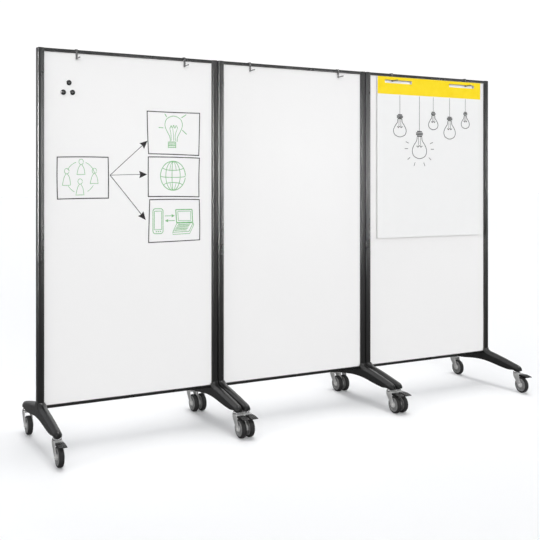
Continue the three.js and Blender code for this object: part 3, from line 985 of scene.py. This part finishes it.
def add_drawings():
    at = (UNITS["left"], PLANE_Y, FRAME_BASE * MM)
    sketches = {}
    for i, (name, corners) in enumerate(BOXES.items()):
        sketches[name] = (box_sketch(corners, 20 + i), BLACK_INK)
    sketches["arrows"] = (arrows_sketch(), BLACK_INK)
    sketches["people"] = (people_sketch(), GREEN_INK)
    sketches["idea"] = (idea_sketch(), GREEN_INK)
    sketches["globe"] = (globe_sketch(), GREEN_INK)
    sketches["devices"] = (devices_sketch(), GREEN_INK)
    for name, (sketch, material) in sketches.items():
        add_piece(f"drawing_{name}", make_mesh(name, sketch.solid(), material), "left_unit", at)


MAGNET_RADIUS = 10.5
MAGNETS = [(-256, 1251), (-278, 1213), (-242, 1214)]


def add_magnets():
    body = lathe(rounded([
        (0, 0, 0), (MAGNET_RADIUS - 0.6, 0, 0.3), (MAGNET_RADIUS, 3.2, 1.6), (MAGNET_RADIUS - 2.4, 5.4, 1.4),
        (4.0, 4.6, 0.6), (4.0, 4.2, 0), (0, 4.2, 0),
    ], 5), "Y", 40)
    dot = lathe(rounded([(0, 4.2, 0), (3.7, 4.2, 0), (3.7, 4.9, 0.3), (0, 5.2, 0)], 4), "Y", 28)
    body_mesh = make_mesh("magnet", facing_front(body), MAGNET_PLASTIC)
    dot_mesh = make_mesh("magnet_dot", facing_front(dot), DOT_PLASTIC)
    for i, (x, z) in enumerate(MAGNETS):
        at = (UNITS["left"] + x * MM, PLANE_Y + (BOARD_FRONT - 0.05) * MM, (FRAME_BASE + z) * MM)
        add_piece(f"magnet_{i + 1}", body_mesh, "left_unit", at)
        add_piece(f"magnet_dot_{i + 1}", dot_mesh, "left_unit", at)


# Flip-chart pad -----------------------------------------------------

HEADER_HEIGHT = 82.0
CARD_DEPTH = 1.2
LAYER_GAP = 0.1
SHEET_LAYERS = 6
SHEET_FRONT = PAD["front"] + 0.7
TOP_SHEET_DEPTH = 0.22
PRINT_FRONT = SHEET_FRONT - 0.9


def slot_cutters():
    cutters = []
    for side in (-1, 1):
        outer = PAD["half"] - SLOT["inset"]
        x0, x1 = sorted((side * outer, side * (outer - SLOT["width"])))
        outline = rectangle(x0, x1, SLOT["top"] - SLOT["height"], SLOT["top"], 3.0, 5)
        cutters.append(prism(outline, PAD["front"] - 20, PAD["back"] + 20, "Y"))
    return cutters


def pad_layer(front, back, inset=0.0, drop=0.0, corner=2.0):
    """One layer of the pad, from its top edge down, with the two hanging slots."""
    half, top = PAD["half"] - inset, PAD["top"] - inset
    outline = rectangle(-half, half, PAD["top"] - PAD["height"] + drop, top, corner, 4)
    return boolean(prism(outline, front, back, "Y"), "DIFFERENCE", *slot_cutters())


def top_sheet():
    """The front sheet: it hangs from the header and lifts a little at its free corners."""
    across, down = 40, 44
    top = PAD["top"] - HEADER_HEIGHT + 3
    bottom = PAD["top"] - PAD["height"] + 0.6
    rings = []
    for j in range(down + 1):
        t = j / down
        front = []
        for i in range(across + 1):
            s = 2 * i / across - 1
            curl = 42 * max(0.0, t - 0.72) ** 2 * s ** 4
            wave = 0.35 * t * math.sin(2.6 * (s + 1) + 0.6) ** 2
            x = s * (PAD["half"] - 0.5)
            front.append((x, SHEET_FRONT - 0.3 - curl - wave, top + (bottom - top) * t))
        rings.append(front + [(x, y + TOP_SHEET_DEPTH, z) for x, y, z in reversed(front)])
    return loft(rings)


def header_solid():
    """The printed band over the top of the pad."""
    return pad_layer(PAD["front"], PAD["front"] + 0.35, drop=PAD["height"] - HEADER_HEIGHT, corner=1.2)


def lamp_sketch(x, cap_top, cap_under, bottom, half, seed):
    """A bulb on a cord: cord, ribbed cap, glass and filament."""
    sketch = Sketch(PRINT_FRONT, 0.1, seed)
    neck = half * 0.42
    sketch.straight((x, CORD_TOP), (x, cap_top), 2.1, 6, 0.4)
    rise = (cap_top - cap_under) / 3
    for i in range(4):
        width = neck * (1.15 if i in (1, 2) else 0.8)
        z = cap_top - rise * i
        sketch.straight((x - width, z), (x + width, z - 0.6), rise * 0.8, 4, 0.6)
    sketch.curve(bulb_outline(x, bottom, cap_under - 2, half, neck * 0.8), 3.3)
    middle = cap_under - (cap_under - bottom) * 0.47
    span = half * 0.42
    for side in (-1, 1):
        stalk = [(neck * 0.3, cap_under), (neck * 0.35, middle + 14), (span * 0.5, middle)]
        sketch.line(smooth_path([(x + side * dx, z) for dx, z in stalk]), 2.0)
    filament = [(-span, 4), (-span * 0.5, -3), (0, 5), (span * 0.5, -3), (span, 4)]
    sketch.line([(x + dx, middle + dz) for dx, dz in filament], 3.6)
    return sketch


CORD_TOP = 1279

# Each lamp: x, the top and underside of its cap, its lowest point, and half its width
LAMPS = [
    (-188, 1187, 1168, 1081, 37), (-70, 1110, 1088, 979, 43), (15, 1207, 1191, 1121, 29),
    (118, 1186, 1169, 1078, 36), (219, 1214, 1198, 1133, 26),
]
RAY_ANGLES = (158, 180, 216, 248, 292, 324, 0, 22)
RAY = {"centre": (-70, 1026), "start": 70, "stop": 89}


def rays_sketch():
    """Short strokes round the largest bulb."""
    sketch = Sketch(PRINT_FRONT, 0.1, 40)
    centre = Vector(RAY["centre"])
    for angle in RAY_ANGLES:
        ahead = Vector((math.cos(math.radians(angle)), math.sin(math.radians(angle))))
        sketch.straight(centre + ahead * RAY["start"], centre + ahead * RAY["stop"], 2.9, 3)
    return sketch


def add_pad():
    body = "flip_chart_pad"
    back = PAD["back"]
    shuffle = random.Random(3)
    depth = (back - CARD_DEPTH - LAYER_GAP - SHEET_FRONT) / SHEET_LAYERS
    solids = {"backing": (softened(pad_layer(back - CARD_DEPTH, back), 0.25, 1), CARD)}
    for i in range(SHEET_LAYERS):
        front = back - CARD_DEPTH - LAYER_GAP - depth * (i + 1)
        inset, drop = shuffle.uniform(0.3, 0.9), shuffle.uniform(0, 1.6)
        solids[f"sheets_{i + 1}"] = (pad_layer(front + 0.08, front + depth, inset, drop, 1.0), PAPER)
    solids["top_sheet"] = (top_sheet(), PAPER)
    solids["header"] = (header_solid(), HEADER)
    for name, (solid, material) in solids.items():
        mesh = make_mesh(f"pad_{name}", solid, material)
        stands_for = [body] if name == "backing" else ()
        add_piece(f"pad_{name}", mesh, body, (UNITS["right"], PLANE_Y, 0), stands_for)
    prints = {f"lamp_{i + 1}": lamp_sketch(*lamp, 30 + i) for i, lamp in enumerate(LAMPS)}
    prints["rays"] = rays_sketch()
    for name, sketch in prints.items():
        mesh = make_mesh(f"pad_{name}", sketch.solid(), GREY_INK)
        add_piece(f"pad_{name}", mesh, body, (UNITS["right"], PLANE_Y, FRAME_BASE * MM))


# Stage, light and camera --------------------------------------------

FLOOR_SEEN = (0.955, 0.957, 0.965)
FLOOR_BOUNCE = (0.12, 0.12, 0.12)

# How bright the world is at the low and high end of each axis; the three are multiplied
WORLD_LIGHT = [("X", 0.37, 0.49), ("Y", 1.05, 1.0), ("Z", 0.9, 1.1)]
WORLD_TINT = (0.965, 0.982, 1.0)
WORLD_SEEN = 1.05

# Each sun: its name, where it comes from, its power, its angle in degrees, and whether it shows mirrored
SUNS = [
    ("overhead", (0.25, 0.1, 4), 1.12, 22, True),
    ("front_fill", (-1.3, -4.4, 0.25), 3.28, 36, False),
    ("left_fill", (-4.4, -0.9, 0.25), 1.7, 36, False),
    ("back_fill", (1.3, 4.4, 0.25), 2.8, 36, False),
]

# Each strip: (x, y) of its place, the x it faces, its power and its width
STRIPS = [
    (0.7, -3.2, -1.14, 0.35, 0.16), (2.3, -3.2, -0.37, 0.5, 0.16), (4.4, -3.2, 0.4, 0.6, 0.16),
    (-4.0, -0.8, -1.14, 7.0, 0.5), (-2.3, -3.5, -0.37, 1.3, 0.2), (-1.7, -3.5, 0.39, 1.3, 0.2),
]
STRIP = {"z": 1.15, "height": 1.0, "spread": 24}


def seen_or_not(tree, seen, unseen):
    """Joins what the camera sees with what lights the rest of the scene."""
    path = tree.nodes.new("ShaderNodeLightPath")
    mix = tree.nodes.new("ShaderNodeMixShader")
    tree.links.new(path.outputs["Is Camera Ray"], mix.inputs["Fac"])
    tree.links.new(unseen.outputs[0], mix.inputs[1])
    tree.links.new(seen.outputs[0], mix.inputs[2])
    return mix.outputs["Shader"]


def add_floor():
    """A plain pale floor. It looks white to the camera and bounces less light than it shows."""
    material = bpy.data.materials.new("floor")
    material.use_nodes = True
    tree = material.node_tree
    tree.nodes.clear()
    shaders = []
    for colour in (FLOOR_SEEN, FLOOR_BOUNCE):
        shader = tree.nodes.new("ShaderNodeBsdfDiffuse")
        shader.inputs["Color"].default_value = (*colour, 1)
        shaders.append(shader)
    output = tree.nodes.new("ShaderNodeOutputMaterial")
    tree.links.new(seen_or_not(tree, *shaders), output.inputs["Surface"])
    bm = bmesh.new()
    bmesh.ops.create_grid(bm, x_segments=2, y_segments=2, size=60)
    mesh = bpy.data.meshes.new("floor")
    bm.to_mesh(mesh)
    bm.free()
    mesh.materials.append(material)
    floor = bpy.data.objects.new("floor", mesh)
    bpy.context.scene.collection.objects.link(floor)


def add_world():
    """A white studio: brighter in front and above, where the soft boxes would be."""
    world = bpy.data.worlds.new("studio")
    bpy.context.scene.world = world
    world.use_nodes = True
    tree = world.node_tree
    tree.nodes.clear()
    seen = tree.nodes.new("ShaderNodeBackground")
    seen.inputs["Strength"].default_value = WORLD_SEEN
    seen.inputs["Color"].default_value = (1, 1, 1, 1)
    lit = tree.nodes.new("ShaderNodeBackground")
    lit.inputs["Color"].default_value = (*WORLD_TINT, 1)
    direction = tree.nodes.new("ShaderNodeTexCoord")
    split = tree.nodes.new("ShaderNodeSeparateXYZ")
    tree.links.new(direction.outputs["Generated"], split.inputs["Vector"])
    factors = []
    for axis, low, high in WORLD_LIGHT:
        factors.append(mapped(tree, split.outputs[axis], (-1, 1), (low, high)))
    strength = factors[0]
    for factor in factors[1:]:
        product = tree.nodes.new("ShaderNodeMath")
        product.operation = "MULTIPLY"
        tree.links.new(strength, product.inputs[0])
        tree.links.new(factor, product.inputs[1])
        strength = product.outputs["Value"]
    tree.links.new(strength, lit.inputs["Strength"])
    output = tree.nodes.new("ShaderNodeOutputWorld")
    tree.links.new(seen_or_not(tree, seen, lit), output.inputs["Surface"])


def add_light(name, kind, place, target, **settings):
    data = bpy.data.lights.new(name, kind)
    for key, value in settings.items():
        setattr(data, key, value)
    obj = bpy.data.objects.new(name, data)
    obj.location = place
    ahead = Vector(target) - Vector(place)
    obj.rotation_mode = "QUATERNION"
    obj.rotation_quaternion = ahead.to_track_quat("-Z", "Y")
    obj.visible_camera = False
    bpy.context.scene.collection.objects.link(obj)
    return obj


def add_sun(name, source, energy, angle, glossy):
    """A far lamp. A fill lamp lights the wall but isn't mirrored in it."""
    sun = add_light(name, "SUN", source, (0, 0, 0), energy=energy, angle=math.radians(angle))
    sun.visible_glossy = glossy


def add_strip(name, x, y, faced, energy, width):
    """A narrow-beamed strip lamp that is only seen mirrored, as a streak along one post."""
    strip = add_light(
        name, "AREA", (x, y, STRIP["z"]), (faced, 0, STRIP["z"]), energy=energy, shape="RECTANGLE",
        size=width, size_y=STRIP["height"], spread=math.radians(STRIP["spread"]),
    )
    strip.visible_diffuse = False


def add_lights():
    for sun in SUNS:
        add_sun(*sun)
    for i, strip in enumerate(STRIPS):
        add_strip(f"strip_{i + 1}", *strip)


def add_camera():
    data = bpy.data.cameras.new("camera")
    data.sensor_width = 36
    data.lens = 57.3
    data.shift_y = -0.162
    camera = bpy.data.objects.new("camera", data)
    camera.location = (-1.950, -3.271, 1.013)
    camera.rotation_euler = (math.radians(90), 0, math.radians(-29))
    bpy.context.scene.collection.objects.link(camera)
    bpy.context.scene.camera = camera


add_camera()
add_world()
add_lights()
add_floor()
add_frames()
add_feet()
add_casters()
add_hooks()
add_drawings()
add_magnets()
add_pad()

bpy.context.scene.view_settings.view_transform = "Standard"
